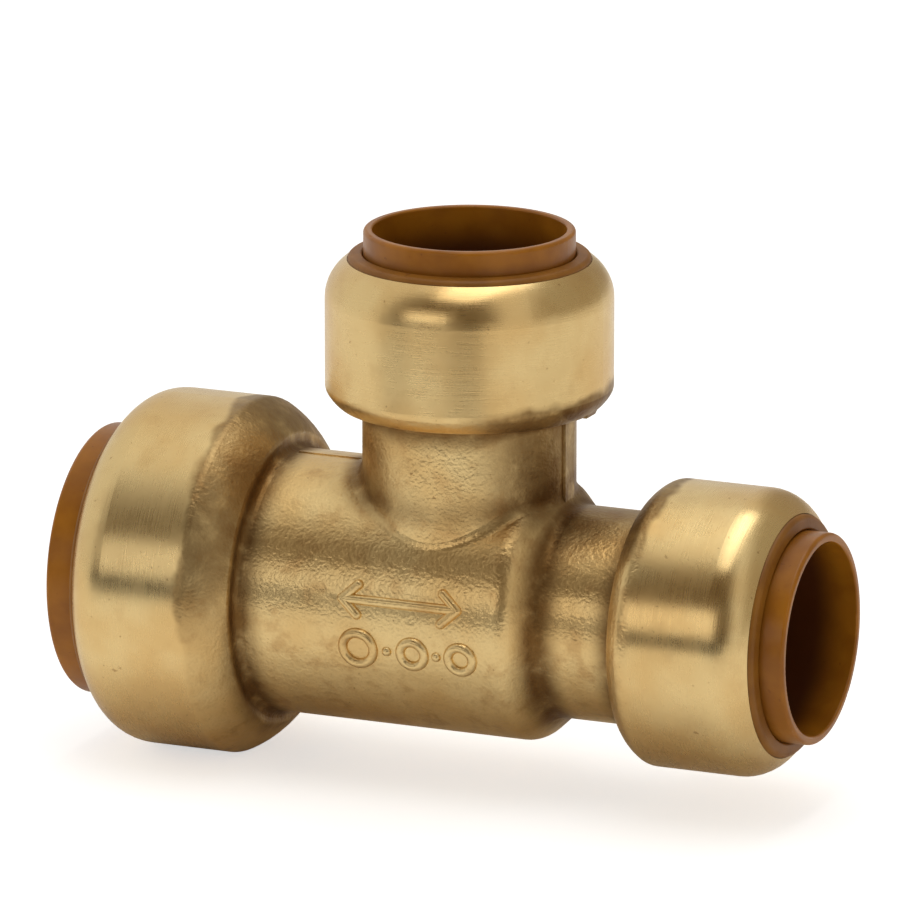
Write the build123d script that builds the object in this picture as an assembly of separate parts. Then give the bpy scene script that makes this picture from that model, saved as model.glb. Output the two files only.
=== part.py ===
"""Reducing tee for copper tube with three push-to-connect sockets: 28 mm by 22 mm with a 22 mm branch.

Millimetres. The run lies along X: the 28 mm socket opens towards -X and a 22 mm socket towards +X.
The 22 mm branch points up, along +Z. The origin is where the axes of the three sockets cross.
"""
from build123d import *
import os
from math import asin, cos, degrees, radians, sin

# ---- clearances shared by all three sockets ----
TUBE_PLAY = 0.1  # tube to guide bore, on the radius
RUN_PLAY = 0.1  # release collar to its retaining ring, on the radius
SEAT_PLAY = 0.06  # plastic parts to the brass around them
STEP_GAP = 0.05  # left between parts that are stacked along a socket's axis

# ---- brass body ----
WAY_WALL = 1.1  # the waterway is this much smaller than the tube, which makes the tube stop
WAY_END = 9.6  # where the wide waterway ends and starts to taper
WAY_TAPER = 3.0  # length of that taper
SHOULDER_START = 10.3  # the wide neck slopes down to the narrow one from here
SHOULDER_END = 13.45  # to here
SHOULDER_ROUND = 3.0
SHOULDER_FILLET = 1.6
BACK_FILLET = 1.0  # neck to the back of a socket
BACK_ROUND = 0.8  # outer edge of that back
EDGE_ROUND = 1.6  # flank to turned cylinder
FLANK_BOW = 0.065  # bulge of the flank between them, as a share of its length
BRANCH_FILLET = 1.6  # branch neck to the run
RIB_WIDTH = 2.6  # forging line, left proud where the two dies met
RIB_PROUD = 0.22
STROKE = 0.6  # the raised mark is drawn with round strokes of this radius
STROKE_PROUD = 0.5  # how far they stand out of the neck
MARK_X = -2.2  # middle of its arrow along the run
MARK_Z = 2.9  # height of the arrow; the rings are as far below the axis
ARROW_HALF = 7.2  # half the length of the arrow's shaft
BARB = 2.6  # length of one stroke of an arrowhead


class Socket:
    """Sizes of one socket: radii, and distances along its axis from the origin."""

    def __init__(self, tube_r, neck_r, bulge_r, lip_r, collar_r, back, edge, roll, mouth, rim, stop, seal):
        self.tube_r = tube_r
        self.neck_r = neck_r
        self.bulge_r = bulge_r
        self.lip_r = lip_r
        self.collar_r = collar_r
        self.back = back  # where the flank leaves the neck
        self.edge = edge  # where the flank meets the turned cylinder
        self.roll = roll  # where the cylinder starts to roll over
        self.mouth = mouth  # outer face of the rolled lip
        self.rim = rim  # outer end of the release collar
        self.stop = stop  # face that the tube end rests on
        self.seal = seal  # start of the O-ring's chamber
        self.way_r = tube_r - WAY_WALL
        self.guide_r = tube_r + TUBE_PLAY
        self.tooth_r = tube_r - 0.08  # teeth bite the tube by this little
        self.back_r = bulge_r - 0.84 * (edge - back)
        self.cord = 0.134 * tube_r  # section radius of the O-ring
        self.seal_r = tube_r - 0.08 + 2 * self.cord
        self.seat = seal + 2 * self.cord + 0.95  # start of the wider chamber for washer and grab ring
        self.seat_r = bulge_r - 1.7
        self.washer = 0.117 * (tube_r + 11)  # thickness of the O-ring's washer
        self.sheet = 0.4  # thickness of the grab ring
        self.grab = self.seat + self.washer + STEP_GAP  # inner face of the grab ring's flange
        self.ring = self.grab + self.sheet + STEP_GAP  # inner face of the retaining ring
        self.travel = 0.0865 * (tube_r + 11)  # stroke of the release collar
        self.lug_r = collar_r + 0.95  # lip on the collar that the retaining ring holds in
        self.lug = self.ring + self.travel + 0.15  # inner face of that lip, at rest
        self.lug_end = self.lug + 1.5
        self.nose = self.grab - 0.05  # inner end of the release collar, at rest
        self.hinge_r = self.lug_r + 0.05  # where the teeth bend
        self.dome = mouth + 0.75  # highest part of the retaining ring
        self.bore_r = tube_r + 0.2  # bore of the release collar


SMALL = dict(tube_r=11.0, neck_r=12.4, bulge_r=16.7, lip_r=14.15, collar_r=12.25, stop=19.0, seal=26.6)
BRANCH = Socket(**SMALL, back=23.5, edge=25.5, roll=36.1, mouth=40.6, rim=44.2)
RUN = Socket(**SMALL, back=23.4, edge=25.4, roll=35.9, mouth=40.4, rim=44.0)
LARGE = Socket(
    tube_r=14.0, neck_r=15.45, bulge_r=21.0, lip_r=17.95, collar_r=16.0,
    back=22.9, edge=27.4, roll=37.7, mouth=42.5, rim=46.9, stop=17.5, seal=26.6,
)

# socket name, its sizes, and the turn that takes the +Z axis onto the socket's axis
SOCKETS = {
    "28": (LARGE, Rotation(0, -90, 0)),
    "22_run": (RUN, Rotation(0, 90, 0)),
    "22_branch": (BRANCH, Rotation(0, 0, 0)),
}
TEETH = {"28": 18, "22_run": 14, "22_branch": 14}


def turned(points):
    """Solid of revolution about Z from (radius, height) corners."""
    outline = Polyline(*[(r, 0, z) for r, z in points], close=True)
    return revolve(make_face(outline), Axis.Z)


def turned_outline(lines):
    """Solid of revolution about Z from a closed chain of lines and arcs in the XZ plane."""
    return revolve(make_face(Curve() + lines), Axis.Z)


def tube_ring(inner, outer, low, high):
    """Plain ring about Z."""
    return turned([(inner, low), (outer, low), (outer, high), (inner, high)])


def rolled(start, end):
    """Arc that leaves (radius, height) start along the axis and bends in to end."""
    return TangentArc((start[0], 0, start[1]), (end[0], 0, end[1]), tangent=(0, 0, 1))


def bowed(start, end, bow):
    """Arc between two (radius, height) points that bulges outwards by this share of its length."""
    (r0, z0), (r1, z1) = start, end
    middle = ((r0 + r1) / 2 + bow * (z1 - z0), 0, (z0 + z1) / 2 - bow * (r1 - r0))
    return ThreePointArc((r0, 0, z0), middle, (r1, 0, z1))


def corners(points):
    """Straight lines through (radius, height) points."""
    return Polyline(*[(r, 0, z) for r, z in points])


# ---- the brass body ----
def rounded(outline, corner, size):
    """The flat outline with its corner at (radius, height) rounded."""
    found = [v for v in outline.vertices() if abs(v.X - corner[0]) < 0.01 and abs(v.Z - corner[1]) < 0.01]
    return outline.fillet_2d(size, found)


def socket_outside(s):
    """Neck, bowed flank, turned cylinder and rolled rim of one socket, filled in."""
    start = (s.bulge_r, s.roll)
    lip = (s.lip_r, s.mouth)
    foot = (s.neck_r, s.back)
    back = (s.back_r, s.back)
    edge = (s.bulge_r, s.edge)
    lines = [
        corners([lip, (0, s.mouth), (0, 0), (s.neck_r, 0), foot, back]),
        bowed(back, edge, FLANK_BOW),
        corners([edge, start]),
        rolled(start, lip),
    ]
    outline = make_face(Curve() + lines).face()
    for corner, size in ((edge, EDGE_ROUND), (back, BACK_ROUND), (foot, BACK_FILLET)):
        outline = rounded(outline, corner, size)
    return revolve(outline, Axis.Z)


def socket_inside(s):
    """Everything that is cut away inside one socket."""
    start = (s.seat_r, s.roll - 0.2)
    lip = (s.lip_r, s.mouth - 0.9)
    beyond = s.mouth + 5
    lines = [
        corners([lip, (s.lip_r, beyond), (0, beyond), (0, 0), (s.way_r, 0), (s.way_r, s.stop),
                 (s.guide_r, s.stop), (s.guide_r, s.seal), (s.seal_r, s.seal), (s.seal_r, s.seat),
                 (s.seat_r, s.seat), start]),
        rolled(start, lip),
    ]
    return turned_outline(lines)


def wide_neck():
    """The 28 mm neck carries on past the branch and slopes down to the narrow neck."""
    top = (LARGE.neck_r, SHOULDER_START)
    foot = (RUN.neck_r, SHOULDER_END)
    end = SHOULDER_END + 4
    outline = make_face(corners([(0, -LARGE.back), (LARGE.neck_r, -LARGE.back), top, foot, (RUN.neck_r, end),
                                 (0, end), (0, -LARGE.back)])).face()
    outline = rounded(outline, top, SHOULDER_ROUND)
    outline = rounded(outline, foot, SHOULDER_FILLET)
    return Rotation(0, 90, 0) * revolve(outline, Axis.Z)


def forging_line():
    """Low ribs and webs in the XZ plane, left by the two halves of the forging die."""
    branch_half = BRANCH.neck_r + RIB_PROUD
    ribs = Pos(0, 0, BRANCH.back / 2 + 5) * Box(2 * branch_half, RIB_WIDTH, BRANCH.back - 4)
    low = BRANCH.back - 0.1
    high = BRANCH.edge + 0.6
    outline = Polyline((0, 0, low), (BRANCH.back_r + 0.2, 0, low), (BRANCH.bulge_r - 0.2, 0, high),
                       (0, 0, high), close=True)
    web = extrude(make_face(outline), amount=RIB_WIDTH / 2, both=True)
    line = Pos(-6, 0, 0) * Box(31, 0.7, 2 * LARGE.neck_r + 0.24)
    return ribs + web + web.mirror(Plane.YZ) + line


def on_neck(x, z):
    """Place on the front of the wide neck, facing out of it, for strokes that stand proud."""
    tilt = degrees(asin(z / LARGE.neck_r))
    return Rotation(-tilt, 0, 0) * Pos(x, STROKE - STROKE_PROUD - LARGE.neck_r, 0) * Rotation(90, 0, 0)


def stroke(length):
    """Straight round stroke along the local X axis, with round ends."""
    bar = Rotation(0, 90, 0) * Cylinder(STROKE, length)
    return bar + Pos(length / 2, 0, 0) * Sphere(STROKE) + Pos(-length / 2, 0, 0) * Sphere(STROKE)


def mark():
    """Raised arrow along the run, above one large and two small rings that stand for the sockets."""
    shaft = on_neck(MARK_X, MARK_Z) * stroke(2 * ARROW_HALF)
    barbs = []
    for side in (1, -1):
        tip = on_neck(MARK_X + side * ARROW_HALF, MARK_Z)
        for turn in (42, -42):
            barbs.append(tip * Rotation(0, 0, turn) * Pos(-side * BARB / 2, 0, 0) * stroke(BARB))
    rings = [on_neck(x, -MARK_Z) * Torus(r, STROKE) for x, r in ((-7.4, 1.9), (-0.6, 1.5), (5.4, 1.5))]
    dots = [on_neck(x, -MARK_Z) * Sphere(STROKE) for x in (-3.8, 2.4)]
    return [shaft] + barbs + rings + dots


def tee_body():
    outside = wide_neck()
    for s, turn in SOCKETS.values():
        outside += turn * socket_outside(s)
    seam = [e for e in outside.edges() if is_branch_seam(e)]
    outside = fillet(seam, BRANCH_FILLET)
    outside += forging_line()
    for piece in mark():
        outside += piece
    for s, turn in SOCKETS.values():
        outside -= turn * socket_inside(s)
    wide_way = Rotation(0, 90, 0) * Pos(0, 0, WAY_END / 2) * Cylinder(LARGE.way_r, WAY_END)
    taper = Rotation(0, 90, 0) * Pos(0, 0, WAY_END + WAY_TAPER / 2) * Cone(LARGE.way_r, RUN.way_r, WAY_TAPER)
    return outside - wide_way - taper


def is_branch_seam(edge):
    """True for the curve where the branch neck meets the run."""
    if edge.geom_type == GeomType.CIRCLE:
        return False
    low = edge.bounding_box().min.Z
    high = edge.bounding_box().max.Z
    return 5 < low and high < LARGE.neck_r + 0.1 and abs(edge.center().X) < BRANCH.neck_r + 1


# ---- what each socket holds ----
def o_ring(s):
    centre = s.tube_r - 0.08 + s.cord
    section = Plane.XZ * Pos(centre, (s.seal + s.seat) / 2) * Circle(s.cord - 0.03)
    return revolve(section, Axis.Z)


def o_ring_protector(s):
    """Plastic washer that closes the O-ring's chamber, dished so the teeth can bend towards it."""
    low = s.seat + 0.02
    high = s.seat + s.washer
    outer = s.seat_r - SEAT_PLAY
    inner = s.tube_r + 0.3
    floor = low + 0.55
    return turned([(inner, low), (outer, low), (outer, high), (s.hinge_r + 0.1, high),
                   (s.collar_r - 0.05, floor), (inner, floor)])


def grab_ring(s, teeth):
    """Stainless ring whose teeth slope in towards the tube stop."""
    outer = s.seat_r - 0.1
    drop = 0.55 * (s.hinge_r - s.tooth_r)
    low = s.grab
    high = s.grab + s.sheet
    blank = turned([(s.hinge_r, low), (outer, low), (outer, high), (s.hinge_r, high),
                    (s.tooth_r, high - drop - 0.05), (s.tooth_r, low - drop + 0.12)])
    root = s.hinge_r - 0.35
    slot = Pos(root / 2 + 2, 0, low - 1) * Box(root - 4, 0.7, 8)
    tip = Pos(root, 0, low - 1) * Cylinder(0.35, 8)
    for i in range(teeth):
        blank -= Rotation(0, 0, 360 * i / teeth) * (slot + tip)
    return blank


def retaining_ring(s):
    """Plastic ring trapped by the rolled brass lip: it backs the grab ring and holds the collar in."""
    outer = s.seat_r - SEAT_PLAY
    rim = s.lip_r - 0.08  # passes through the brass lip
    bore = s.collar_r + RUN_PLAY
    step = s.lug_r + 0.12  # wider bore for the collar's lip
    shelf = s.lug_end + STEP_GAP
    start = (outer, s.roll - 0.25)
    lip = (rim, s.mouth - 1.05)
    edge = (rim, s.mouth + 0.05)
    shoulder = (s.lip_r - 0.75, s.dome - 0.12)
    between = (rim - 0.67 * (1 - sin(radians(45))), s.mouth + 0.05 + 0.58 * cos(radians(45)))
    lines = [
        corners([edge, lip]),
        rolled(start, lip),
        corners([start, (outer, s.ring), (step, s.ring), (step, shelf), (bore, shelf), (bore, s.dome - 0.15),
                 (bore + 0.2, s.dome), shoulder]),
        ThreePointArc((shoulder[0], 0, shoulder[1]), (between[0], 0, between[1]), (edge[0], 0, edge[1])),
    ]
    return turned_outline(lines)


def rims(sleeve, height):
    """Round edges of a sleeve at this height, from the smallest to the largest."""
    edges = [e for e in sleeve.edges().filter_by(GeomType.CIRCLE) if abs(e.center().Z - height) < 0.01]
    return sorted(edges, key=lambda e: e.radius)


def release_collar(s):
    """Thin sleeve that is pressed in to lift the teeth off the tube."""
    sleeve = tube_ring(s.bore_r, s.collar_r, s.nose, s.rim)
    sleeve = fillet(rims(sleeve, s.rim)[-1], 0.45)
    sleeve = fillet(rims(sleeve, s.rim)[0], 0.25)
    sleeve = chamfer(rims(sleeve, s.nose)[-1], 0.55)
    return sleeve + tube_ring(s.bore_r + 0.2, s.lug_r, s.lug, s.lug_end)


def save(shape, name):
    solids = shape.solids()
    assert len(solids) == 1, f"{name} has {len(solids)} solids"
    export_step(solids[0], f"parts/{name}.step")


os.makedirs("parts", exist_ok=True)
save(tee_body(), "tee_body")
for name, (socket, turn) in SOCKETS.items():
    save(turn * o_ring(socket), f"o_ring_{name}")
    save(turn * o_ring_protector(socket), f"o_ring_protector_{name}")
    save(turn * grab_ring(socket, TEETH[name]), f"grab_ring_{name}")
    save(turn * retaining_ring(socket), f"retaining_ring_{name}")
    save(turn * release_collar(socket), f"release_collar_{name}")
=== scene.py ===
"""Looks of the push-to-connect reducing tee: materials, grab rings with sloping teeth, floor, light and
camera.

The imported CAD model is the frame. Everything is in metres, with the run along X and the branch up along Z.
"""
from math import cos, pi, radians, sin

import bmesh
import bpy
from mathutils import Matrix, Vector

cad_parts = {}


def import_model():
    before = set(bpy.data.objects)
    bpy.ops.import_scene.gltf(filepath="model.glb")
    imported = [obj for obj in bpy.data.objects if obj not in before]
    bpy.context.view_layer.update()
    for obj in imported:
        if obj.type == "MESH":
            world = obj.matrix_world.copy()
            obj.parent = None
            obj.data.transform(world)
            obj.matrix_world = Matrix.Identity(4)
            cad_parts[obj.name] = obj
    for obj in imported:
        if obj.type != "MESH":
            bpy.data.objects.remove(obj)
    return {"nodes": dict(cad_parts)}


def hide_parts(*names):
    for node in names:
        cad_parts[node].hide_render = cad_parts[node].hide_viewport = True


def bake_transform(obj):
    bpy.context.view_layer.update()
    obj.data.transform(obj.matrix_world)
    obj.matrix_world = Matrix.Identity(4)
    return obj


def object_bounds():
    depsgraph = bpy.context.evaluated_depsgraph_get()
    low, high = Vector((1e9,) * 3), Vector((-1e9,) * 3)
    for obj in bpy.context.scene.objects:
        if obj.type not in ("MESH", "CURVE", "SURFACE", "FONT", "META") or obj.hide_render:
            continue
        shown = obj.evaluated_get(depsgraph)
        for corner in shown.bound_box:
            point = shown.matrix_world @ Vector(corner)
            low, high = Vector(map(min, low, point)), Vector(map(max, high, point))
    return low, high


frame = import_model()
cad_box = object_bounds()
SOCKETS = ("28", "22_run", "22_branch")
MM = 0.001


# ---- small helpers for node trees ----
class Tree:
    """Makes and links nodes with short calls."""

    def __init__(self, node_tree):
        self.tree = node_tree
        self.tree.nodes.clear()

    def add(self, kind, inputs=None, **settings):
        node = self.tree.nodes.new(kind)
        for key, value in settings.items():
            setattr(node, key, value)
        for key, value in (inputs or {}).items():
            self.feed(node.inputs[key], value)
        return node

    def feed(self, socket, value):
        if isinstance(value, bpy.types.NodeSocket):
            self.tree.links.new(value, socket)
        else:
            socket.default_value = value

    def math(self, operation, a, b=0.0):
        return self.add("ShaderNodeMath", {0: a, 1: b}, operation=operation).outputs[0]

    def plus(self, a, b):
        return self.math("ADD", a, b)

    def minus(self, a, b):
        return self.math("SUBTRACT", a, b)

    def times(self, first, *others):
        for other in others:
            first = self.math("MULTIPLY", first, other)
        return first

    def largest(self, first, *others):
        for other in others:
            first = self.math("MAXIMUM", first, other)
        return first

    def hypot(self, a, b):
        return self.math("SQRT", self.plus(self.times(a, a), self.times(b, b)))

    def step(self, value, low, high):
        """0 at low and 1 at high, smooth between. Low may be the larger of the two."""
        node = self.add("ShaderNodeMapRange", {"Value": value, "From Min": low, "From Max": high},
                        interpolation_type="SMOOTHSTEP")
        return node.outputs["Result"]

    def span(self, value, low, high):
        """Noise value (0 to 1) turned into the range low to high."""
        node = self.add("ShaderNodeMapRange", {"Value": value, "To Min": low, "To Max": high})
        return node.outputs["Result"]

    def mix(self, factor, a, b):
        node = self.add("ShaderNodeMix", {"Factor": factor}, data_type="FLOAT")
        self.feed(node.inputs[2], a)
        self.feed(node.inputs[3], b)
        return node.outputs[0]

    def mix_color(self, factor, a, b):
        node = self.add("ShaderNodeMix", {"Factor": factor}, data_type="RGBA")
        self.feed(node.inputs[6], a)
        self.feed(node.inputs[7], b)
        return node.outputs[2]

    def mix_vector(self, factor, a, b):
        node = self.add("ShaderNodeMix", {"Factor": factor}, data_type="VECTOR")
        self.feed(node.inputs[4], a)
        self.feed(node.inputs[5], b)
        return node.outputs[1]

    def noise(self, vector, scale, detail=2.0, roughness=0.5):
        node = self.add("ShaderNodeTexNoise",
                        {"Vector": vector, "Scale": scale, "Detail": detail, "Roughness": roughness})
        return node.outputs["Fac"]

    def stretched(self, vector, scale):
        """The vector scaled by a different number along each axis."""
        node = self.add("ShaderNodeMapping", {"Vector": vector, "Scale": scale})
        return node.outputs["Vector"]

    def bump(self, height, distance):
        node = self.add("ShaderNodeBump", {"Height": height, "Distance": distance})
        return node.outputs["Normal"]


def rgb(r, g, b):
    """sRGB from 0 to 255 as a linear colour."""
    def linear(v):
        v /= 255
        return v / 12.92 if v <= 0.04045 else ((v + 0.055) / 1.055) ** 2.4
    return (linear(r), linear(g), linear(b), 1.0)


def new_material(name):
    material = bpy.data.materials.new(name)
    material.use_nodes = True
    return material, Tree(material.node_tree)


def millimetres(tree):
    """The object's own coordinates in millimetres, and their three numbers."""
    coords = tree.add("ShaderNodeTexCoord").outputs["Object"]
    scaled = tree.add("ShaderNodeVectorMath", {0: coords, "Scale": 1000.0}, operation="SCALE").outputs[0]
    split = tree.add("ShaderNodeSeparateXYZ", {0: scaled})
    return scaled, split.outputs


def surface(tree, **inputs):
    """Principled shader with these inputs, wired to the output."""
    shader = tree.add("ShaderNodeBsdfPrincipled", {k.replace("_", " "): v for k, v in inputs.items()})
    tree.add("ShaderNodeOutputMaterial", {"Surface": shader.outputs[0]})


# ---- brass: all its places are in mm, along a socket's axis or out from that axis ----
NECK_END = {"28": 22.9, "22_run": 23.4, "22_branch": 23.5}
TURNED_START = {"28": 27.6, "22_run": 25.8, "22_branch": 25.8}
WIDE_NECK_RADIUS = 15.45
NARROW_NECK_RADIUS = 12.4
SHOULDER_END = 13.45
CORNER_HEART = 0.4  # this near a corner the oxide and painted shade are full
CLEAN_BRASS = rgb(240, 210, 149)
WARM_BRASS = rgb(230, 193, 129)
STAINED_BRASS = rgb(196, 154, 98)
# brown of oxide and of painted shade in the forging's corners
OXIDE_AND_SHADE = rgb(104, 67, 25)
HOLLOW = rgb(150, 112, 64)
PIT = rgb(150, 105, 60)


def turned_masks(t, p, x, z):
    """1 where any socket was turned on a lathe, and 1 where the branch's socket was."""
    # the forging is not quite true to the lathe, so the edge of the turning wanders and leans
    wander = t.plus(t.span(t.noise(p, 0.16), -1.8, 1.8), t.span(t.noise(p, 0.7), -0.15, 0.15))
    run_edge = t.minus(wander, t.times(t.largest(z, 0.0), 0.07))
    branch_edge = t.minus(wander, t.times(t.largest(x, 0.0), 0.05))

    def turned(axial, edge, socket):
        start = TURNED_START[socket]
        return t.step(t.plus(axial, edge), start - 0.5, start + 0.5)

    on_28 = turned(t.times(x, -1.0), run_edge, "28")
    on_run = turned(x, run_edge, "22_run")
    on_branch = turned(z, branch_edge, "22_branch")
    return t.largest(on_28, on_run, on_branch), on_branch


def near_corner(t, axial, radial, corner, reach):
    """1 in an inner corner at (axial, radial), fading to 0 at this reach."""
    off_axially = t.minus(axial, corner[0])
    off_radially = t.minus(radial, corner[1])
    return t.step(t.hypot(off_axially, off_radially), reach, CORNER_HEART)


def oxide_and_shade_mask(t, x, y, z):
    """Brown oxide and painted shade: 1 where the forging lies in a corner, and less on the upper flank and
    beside the branch.
    """
    run_radius = t.hypot(y, z)
    branch_radius = t.hypot(x, y)
    behind_28 = near_corner(t, t.times(x, -1.0), run_radius, (NECK_END["28"], WIDE_NECK_RADIUS), 4.0)
    behind_run = near_corner(t, x, run_radius, (NECK_END["22_run"], NARROW_NECK_RADIUS), 3.6)
    behind_branch = near_corner(t, z, branch_radius, (NECK_END["22_branch"], NARROW_NECK_RADIUS), 3.6)
    shoulder_foot = near_corner(t, x, run_radius, (SHOULDER_END, NARROW_NECK_RADIUS), 3.6)

    # where the branch's neck meets the wide neck, on its upper half
    off_run = t.largest(t.minus(run_radius, WIDE_NECK_RADIUS), 0.0)
    off_branch = t.largest(t.minus(branch_radius, NARROW_NECK_RADIUS), 0.0)
    crotch = t.step(t.plus(off_run, t.times(off_branch, 1.6)), 5.0, 0.3)
    branch_foot = t.times(crotch, t.step(z, 10.5, 14.0))
    beside_branch = t.times(t.step(x, 4.0, 10.5), t.step(z, 9.0, 13.0), 0.8)

    # painted shade and oxide on the back of the 28 mm socket on its upper side, and on the web behind the
    # branch's socket
    flank = t.times(t.step(x, -20.0, -23.5), t.step(z, -7.0, 5.0), 0.7)
    web = t.times(t.step(x, 14.3, 14.9), t.step(z, 22.8, 23.4), t.step(z, 26.3, 25.8))
    corners = t.largest(behind_28, behind_run, behind_branch, shoulder_foot)
    return t.largest(corners, flank, branch_foot, beside_branch, web)


def brass():
    """Turned on the sockets, blasted forging skin elsewhere, brown oxide and painted shade where the skin
    lies in a corner.
    """
    material, t = new_material("forged_brass")
    p, (x, y, z) = millimetres(t)
    turned, on_branch = turned_masks(t, p, x, z)
    skin = t.minus(1.0, turned)

    # lathe lines run round each socket's axis
    along_x = t.stretched(p, (7.0, 0.30, 0.30))
    along_z = t.stretched(p, (0.30, 0.30, 7.0))
    line_coords = t.mix_vector(on_branch, along_x, along_z)
    lines = t.noise(line_coords, 1.0, detail=4.0, roughness=0.62)
    broad_lines = t.noise(line_coords, 0.25, detail=2.0)
    pits = t.step(t.noise(p, 1.5, detail=3.0), 0.69, 0.76)
    dull = t.noise(p, 0.35, detail=4.0, roughness=0.6)
    marks = t.plus(lines, t.times(broad_lines, 0.8))
    turned_relief = t.minus(marks, t.times(pits, 0.5))

    # forging skin: grains of about 0.4 mm on slow lumps
    grain = t.noise(p, 2.6, detail=1.5, roughness=0.45)
    lumps = t.noise(p, 0.7, detail=1.0)
    forged_relief = t.plus(grain, t.times(lumps, 0.9))
    turned_normal = t.bump(turned_relief, 0.010 * MM)
    forged_normal = t.bump(forged_relief, 0.050 * MM)
    normal = t.mix_vector(turned, forged_normal, turned_normal)

    cloud = t.noise(p, 0.30, detail=4.0, roughness=0.6)
    # painted shade and oxide: brown in the corners of the skin, on its upper flank and beside the branch
    oxide_and_shade = t.times(oxide_and_shade_mask(t, x, y, z), skin, t.step(cloud, 0.0, 0.55))
    stain = t.times(t.step(cloud, 0.50, 0.70), t.minus(0.55, t.times(turned, 0.4)))
    hollows = t.times(t.step(grain, 0.50, 0.34), skin, 0.08)
    colour = t.mix_color(t.step(t.noise(p, 0.09, detail=3.0), 0.35, 0.65), CLEAN_BRASS, WARM_BRASS)
    colour = t.mix_color(stain, colour, STAINED_BRASS)
    # painted shade and oxide darken the brass here
    colour = t.mix_color(t.times(oxide_and_shade, 0.88), colour, OXIDE_AND_SHADE)
    colour = t.mix_color(hollows, colour, HOLLOW)
    colour = t.mix_color(t.times(pits, 0.5), colour, PIT)

    rough_turned = t.plus(t.span(lines, 0.17, 0.29), t.span(dull, -0.02, 0.12))
    rough_forged = t.plus(t.span(grain, 0.28, 0.38), t.times(oxide_and_shade, 0.14))
    roughness = t.mix(turned, rough_forged, rough_turned)

    round_x = t.add("ShaderNodeTangent", direction_type="RADIAL", axis="X").outputs[0]
    round_z = t.add("ShaderNodeTangent", direction_type="RADIAL", axis="Z").outputs[0]
    tangent = t.mix_vector(on_branch, round_x, round_z)
    surface(t, Base_Color=colour, Metallic=1.0, Roughness=roughness, Anisotropic=0.5,
            Anisotropic_Rotation=0.25, Tangent=tangent, Normal=normal)
    return material


# ---- plastics, rubber and steel ----
SOCKET_MOUTH = 43.0  # mm out along a socket's axis
SOCKET_SHADE = 38.5  # mm out, where the shaded colour is full


def plastic(name, light, dark, roughness, through, shaded=None):
    """Moulded acetal with faint flow marks and specks. Shaded is the colour deep inside a socket."""
    material, t = new_material(name)
    p, (x, _, z) = millimetres(t)
    flow = t.noise(p, 0.22, detail=3.0)
    speck = t.step(t.noise(p, 1.1, detail=2.0), 0.70, 0.76)
    colour = t.mix_color(t.step(flow, 0.3, 0.7), light, dark)
    colour = t.mix_color(t.times(speck, 0.35), colour, rgb(96, 50, 22))
    if shaded:
        out = t.largest(t.math("ABSOLUTE", x), z)
        colour = t.mix_color(t.step(out, SOCKET_MOUTH, SOCKET_SHADE), colour, shaded)
    fine = t.noise(p, 2.2, detail=3.0)
    normal = t.bump(t.plus(fine, t.times(flow, 2.0)), 0.006 * MM)
    surface(t, Base_Color=colour, Roughness=t.span(fine, roughness - 0.05, roughness + 0.07), Normal=normal,
            Subsurface_Weight=through, Subsurface_Radius=(1.0, 0.55, 0.2), Subsurface_Scale=0.8 * MM,
            IOR=1.48, Specular_IOR_Level=0.32)
    return material


def rubber():
    """Black rubber of the O-rings, slightly uneven in gloss."""
    material, t = new_material("seal_rubber")
    p, _ = millimetres(t)
    fine = t.noise(p, 3.0, detail=3.0)
    colour = t.mix_color(fine, (0.012, 0.012, 0.012, 1), (0.03, 0.03, 0.031, 1))
    surface(t, Base_Color=colour, Roughness=t.span(fine, 0.32, 0.5), Normal=t.bump(fine, 0.004 * MM))
    return material


def stainless():
    """Bright stamped sheet of the grab rings."""
    material, t = new_material("stamped_stainless")
    p, _ = millimetres(t)
    grain = t.noise(p, 2.5, detail=4.0, roughness=0.7)
    colour = t.mix_color(grain, (0.50, 0.50, 0.51, 1), (0.66, 0.66, 0.66, 1))
    surface(t, Base_Color=colour, Metallic=1.0, Roughness=t.span(grain, 0.22, 0.4),
            Normal=t.bump(grain, 0.004 * MM))
    return material


def finish_node(name, material):
    """Gives a CAD node this material."""
    for slot in frame["nodes"][name].material_slots:
        slot.material = material


COLLAR = plastic("collar_acetal", rgb(176, 112, 25), rgb(155, 95, 18), 0.30, 0.15, shaded=rgb(86, 43, 14))
LEDGE = plastic("ring_acetal", rgb(154, 101, 30), rgb(136, 86, 24), 0.46, 0.10)
WASHER = plastic("washer_acetal", rgb(226, 222, 208), rgb(214, 208, 192), 0.4, 0.1)
SEAL = rubber()
STEEL = stainless()
finish_node("tee_body", brass())
for socket in SOCKETS:
    finish_node(f"release_collar_{socket}", COLLAR)
    finish_node(f"retaining_ring_{socket}", LEDGE)
    finish_node(f"o_ring_protector_{socket}", WASHER)
    finish_node(f"o_ring_{socket}", SEAL)
    finish_node(f"grab_ring_{socket}", STEEL)


# ---- grab rings: the CAD ring is rigid, this one's teeth slope in towards the tube stop ----
# outward axis of each socket, an axis across it, and the number of teeth
RINGS = {"28": (Vector((-1, 0, 0)), Vector((0, 1, 0)), 18),
         "22_run": (Vector((1, 0, 0)), Vector((0, 1, 0)), 14),
         "22_branch": (Vector((0, 0, 1)), Vector((1, 0, 0)), 14)}
SLIT = 0.35 * MM  # half the gap between two teeth
SHEET = 0.38 * MM  # thickness of the stamped sheet
EDGE_BEVEL = 0.06 * MM
EDGE_WIDTH = 0.12 * MM
HINGE_SOFTNESS = 0.35 * MM
TIP_THINNING = 0.5  # thickness at the tip of a tooth, as a share of the sheet's
SLIT_END_ROWS = 4
TOOTH_ROWS = 6
COLUMNS = 8  # quads across one tooth


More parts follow.
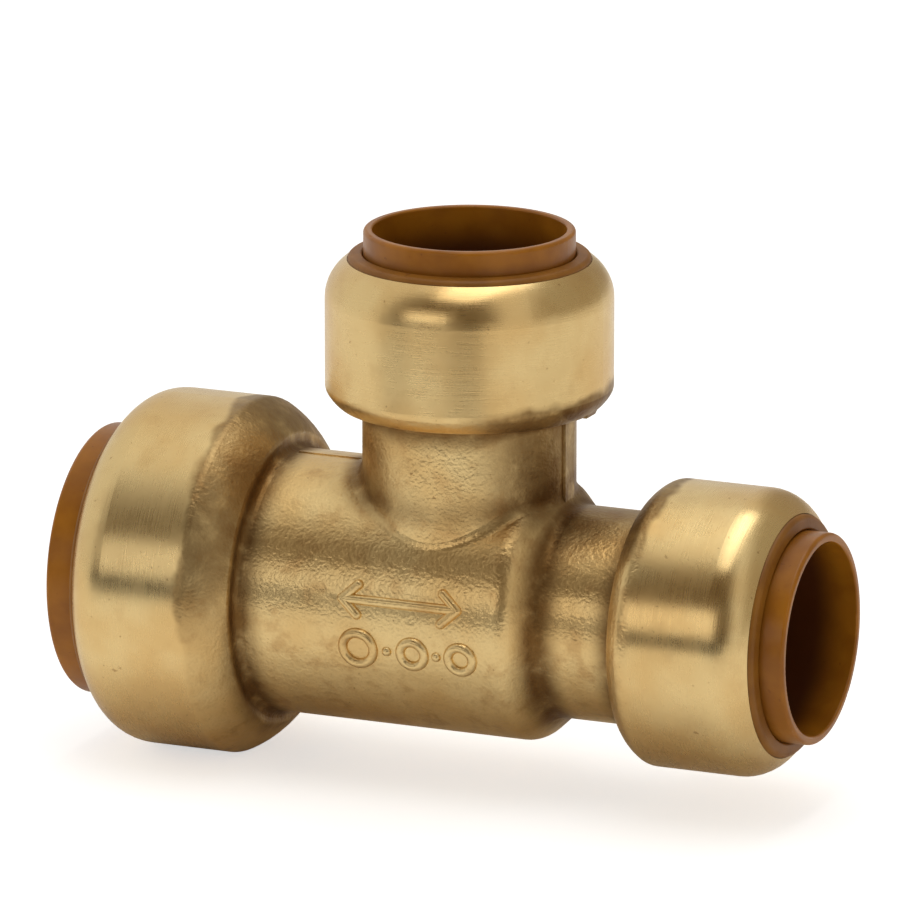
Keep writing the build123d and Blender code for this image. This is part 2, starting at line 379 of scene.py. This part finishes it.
def ring_sizes(socket, axis):
    """Tooth radius, hinge radius, outer radius, face of the flange and depth of the teeth, from the CAD."""
    ring = [v.co for v in frame["nodes"][f"grab_ring_{socket}"].data.vertices]
    collar = [v.co for v in frame["nodes"][f"release_collar_{socket}"].data.vertices]

    def radii(points):
        return [(p - axis * p.dot(axis)).length for p in points]

    heights = [p.dot(axis) for p in ring]
    high = max(heights)
    return min(radii(ring)), max(radii(collar)), max(radii(ring)), high, high - min(heights)


def ring_rows(outer, hinge, tooth):
    """Radii of the sheet's rows: the flange, the round ends of the slits, then down the teeth."""
    root = hinge - SLIT
    rows = [outer, outer - EDGE_WIDTH, (outer + hinge) / 2, hinge, root]
    quarter = pi / 2 / SLIT_END_ROWS
    rows += [root - SLIT * (1 - cos(k * quarter)) for k in range(1, SLIT_END_ROWS + 1)]
    last = rows[-1]
    rows += [last + (tooth - last) * k / TOOTH_ROWS for k in range(1, TOOTH_ROWS + 1)]
    return rows


def slit_half_width(radius, root):
    """Half the gap between two teeth at this radius. The slit ends in a half circle that touches root."""
    if radius >= root:
        return 0.0
    if radius <= root - SLIT:
        return SLIT
    return (SLIT**2 - (radius - root + SLIT)**2) ** 0.5


def tooth_height(radius, angle, hinge, tooth, half, drop):
    """How far a tooth has sunk at this radius and angle from its middle: flat tabs bent along a chord."""
    chord = hinge * cos(half)
    reach = chord - radius * cos(angle)
    if reach <= 0:
        return 0.0
    full = chord - tooth * cos(half)
    soft = HINGE_SOFTNESS
    bent = reach - soft / 2 if reach > soft else reach * reach / (2 * soft)
    return -drop * bent / (full - soft / 2)


def ring_mesh(socket):
    """One closed sheet: a flat flange, and separate teeth that slope in towards the tube stop."""
    axis, across, teeth = RINGS[socket]
    along = axis.cross(across)
    tooth, hinge, outer, high, depth = ring_sizes(socket, axis)
    half = pi / teeth
    rows = ring_rows(outer, hinge, tooth)
    half_sheet = [SHEET / 2] * len(rows)
    half_sheet[0] -= EDGE_BEVEL
    half_sheet[-1] *= TIP_THINNING
    shape = bmesh.new()

    def layer(side):
        """One face of the sheet: vertices by tooth, row and column. Outside the slits teeth share them."""
        grid = {}
        for i in range(teeth):
            for j, radius in enumerate(rows):
                slit = slit_half_width(radius, hinge - SLIT)
                edge = half - slit / radius
                for k in range(COLUMNS + 1):
                    if slit == 0 and k == COLUMNS:
                        continue
                    angle = edge * (2 * k / COLUMNS - 1)
                    sunk = tooth_height(radius, angle, hinge, tooth, half, depth - SHEET)
                    height = high - SHEET / 2 + sunk + side * half_sheet[j]
                    turn = 2 * half * i + angle
                    flat = across * (radius * cos(turn)) + along * (radius * sin(turn))
                    grid[i, j, k] = shape.verts.new(flat + axis * height)
        for i in range(teeth):
            for j in range(len(rows)):
                if (i, j, COLUMNS) not in grid:
                    grid[i, j, COLUMNS] = grid[(i + 1) % teeth, j, 0]
        return grid

    top = layer(1)
    bottom = layer(-1)
    for i in range(teeth):
        for j in range(len(rows) - 1):
            for k in range(COLUMNS):
                quad = [(i, j, k), (i, j, k + 1), (i, j + 1, k + 1), (i, j + 1, k)]
                shape.faces.new([top[c] for c in quad])
                shape.faces.new([bottom[c] for c in reversed(quad)])
    partner = {top[c]: bottom[c] for c in top}
    rim = [e for e in shape.edges if e.is_boundary]
    for edge in rim:
        a, b = edge.verts
        if a in partner:
            shape.faces.new((a, b, partner[b], partner[a]))
    bmesh.ops.recalc_face_normals(shape, faces=shape.faces)
    mesh = bpy.data.meshes.new(f"stamped_ring_{socket}")
    shape.to_mesh(mesh)
    shape.free()
    mesh.materials.append(STEEL)
    mesh.shade_smooth()
    mesh.set_sharp_from_angle(angle=radians(35))
    return mesh


def grab_ring(socket):
    """Takes the place of the CAD ring, which is hidden."""
    ring = bpy.data.objects.new(f"stamped_ring_{socket}", ring_mesh(socket))
    bpy.context.collection.objects.link(ring)
    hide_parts(f"grab_ring_{socket}")
    axis = RINGS[socket][0]
    _, _, _, high, depth = ring_sizes(socket, axis)
    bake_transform(ring)


for socket in SOCKETS:
    grab_ring(socket)


# ---- floor, light and camera ----
FLOOR_HALF = 4.0
GLOW_BESIDE = 0.22  # glow of the floor round the part
GLOW_PATCH = 0.6  # and of a patch in front of it, which the brass reflects
GLOW_SEEN = 0.6  # and as the camera sees it
PATCH = (-30.0, -215.0)  # mm


def floor():
    """White paper under the part, with a glow that is weakest right under it."""
    low = cad_box[0][2]
    corners = [(-FLOOR_HALF, -FLOOR_HALF, low), (FLOOR_HALF, -FLOOR_HALF, low),
               (FLOOR_HALF, FLOOR_HALF, low), (-FLOOR_HALF, FLOOR_HALF, low)]
    mesh = bpy.data.meshes.new("floor")
    mesh.from_pydata(corners, [], [(0, 1, 2, 3)])
    sheet = bpy.data.objects.new("floor", mesh)
    bpy.context.collection.objects.link(sheet)
    material, t = new_material("floor_paper")
    p, (x, y, _) = millimetres(t)
    tint = t.mix_color(t.noise(p, 0.02), (0.88, 0.88, 0.88, 1), (0.90, 0.90, 0.90, 1))
    off_part = t.hypot(t.math("DIVIDE", x, 2.2), y)
    beside = t.times(t.step(off_part, 15.0, 40.0), GLOW_BESIDE)
    off_patch = t.hypot(t.minus(x, PATCH[0]), t.minus(y, PATCH[1]))
    glow = t.mix(t.step(off_patch, 100.0, 35.0), beside, GLOW_PATCH)
    seen = t.add("ShaderNodeLightPath").outputs["Is Camera Ray"]
    strength = t.mix(seen, glow, GLOW_SEEN)
    surface(t, Base_Color=tint, Roughness=0.8, Emission_Color=(1, 1, 1, 1), Emission_Strength=strength)
    mesh.materials.append(material)


def dark_card():
    """Low dark card across the front, hidden from the camera. The brass and the floor still see it."""
    left, right = -0.30, 0.16
    front = -0.24
    low, high = -0.021, 0.030
    corners = [(left, front, low), (right, front, low), (right, front, high), (left, front, high)]
    mesh = bpy.data.meshes.new("upright_card")
    mesh.from_pydata(corners, [], [(0, 1, 2, 3)])
    card = bpy.data.objects.new("upright_card", mesh)
    card.visible_camera = False
    bpy.context.collection.objects.link(card)
    material, t = new_material("upright_card")
    surface(t, Base_Color=(0.03, 0.026, 0.02, 1), Roughness=0.9)
    mesh.materials.append(material)


def softbox(name, place, aim, width, height, brightness):
    """Rectangular light; brightness is its radiance, so that a mirror would show it this bright."""
    light = bpy.data.lights.new(name, "AREA")
    light.shape = "RECTANGLE"
    light.size = width
    light.size_y = height
    light.energy = brightness * pi * width * height
    lamp = bpy.data.objects.new(name, light)
    lamp.location = place
    lamp.rotation_euler = (Vector(aim) - Vector(place)).to_track_quat("-Z", "Y").to_euler()
    bpy.context.collection.objects.link(lamp)


def world():
    """Pale walls, dimmer behind on the right and dark in front. The camera sees plain white."""
    scene_world = bpy.data.worlds.new("studio")
    bpy.context.scene.world = scene_world
    scene_world.use_nodes = True
    t = Tree(scene_world.node_tree)
    direction = t.add("ShaderNodeTexCoord").outputs["Generated"]
    x, y, _ = t.add("ShaderNodeSeparateXYZ", {0: direction}).outputs
    sideways = t.math("ABSOLUTE", x)
    front = t.step(t.minus(t.times(y, -1.0), sideways), -0.25, 0.25)
    behind_right = t.step(t.plus(x, y), 0.5, 0.85)
    walls = t.mix_color(behind_right, (0.70, 0.69, 0.67, 1), (0.36, 0.32, 0.26, 1))
    room = t.mix_color(front, walls, (0.11, 0.080, 0.046, 1))
    seen = t.add("ShaderNodeLightPath").outputs["Is Camera Ray"]
    colour = t.mix_color(seen, room, (1.0, 1.0, 1.0, 1))
    background = t.add("ShaderNodeBackground", {"Color": colour, "Strength": 1.0})
    t.add("ShaderNodeOutputWorld", {"Surface": background.outputs[0]})


def camera():
    """Long lens from the front right and a little above."""
    azimuth = radians(23.5)
    elevation = radians(14.5)
    distance = 1.2
    aim = Vector((-3.8, 3.1, 16.7)) * MM
    back = Vector((sin(azimuth) * cos(elevation), -cos(azimuth) * cos(elevation), sin(elevation)))
    data = bpy.data.cameras.new("camera")
    data.sensor_width = 36
    data.lens = 413.6
    data.clip_start = 0.05
    data.clip_end = 20
    eye = bpy.data.objects.new("camera", data)
    eye.location = aim + back * distance
    eye.rotation_euler = (-back).to_track_quat("-Z", "Y").to_euler()
    bpy.context.collection.objects.link(eye)
    bpy.context.scene.camera = eye


floor()
world()
dark_card()
softbox("overhead", place=(0.03, 0.0, 0.60), aim=(0, 0, 0), width=0.65, height=0.28, brightness=1.6)
softbox("front_panel", place=(-0.12, -0.60, 0.175), aim=(0, 0, 0.02), width=0.40, height=0.26,
        brightness=1.1)
camera()
bpy.context.scene.view_settings.view_transform = "Standard"
